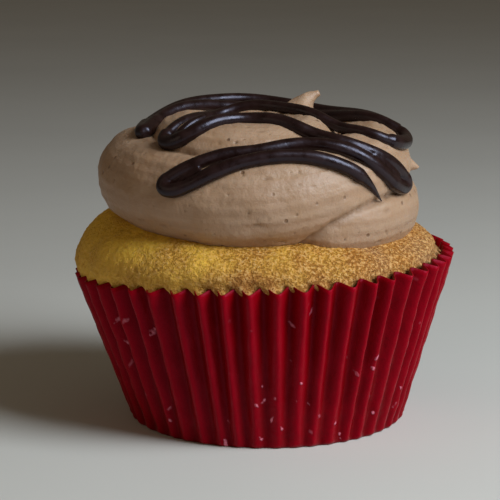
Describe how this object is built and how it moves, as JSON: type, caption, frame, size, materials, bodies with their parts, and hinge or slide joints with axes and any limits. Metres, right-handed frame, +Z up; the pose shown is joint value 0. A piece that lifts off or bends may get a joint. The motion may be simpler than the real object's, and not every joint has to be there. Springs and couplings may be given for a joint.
{
  "type": "cupcake",
  "caption": "Frosted cupcake in a red pleated paper case, with a piped chocolate buttercream swirl and a dark chocolate zigzag.",
  "frame": {"origin": "middle of the paper case's flat underside", "axes": "+Z up, -Y towards the front, +X to the right seen from the front"},
  "size_m": [0.07, 0.0698, 0.0597],
  "materials": {
    "case": "satin greaseproof paper, deep red, pleated",
    "sponge": "matte golden sponge crumb",
    "icing": "satin mocha buttercream",
    "chocolate": "glossy dark chocolate"
  },
  "bodies": {
    "root": {"paper_case": "case", "sponge": "sponge", "icing_swirl": "icing", "chocolate_zigzag": "chocolate"}
  },
  "joints": []
}
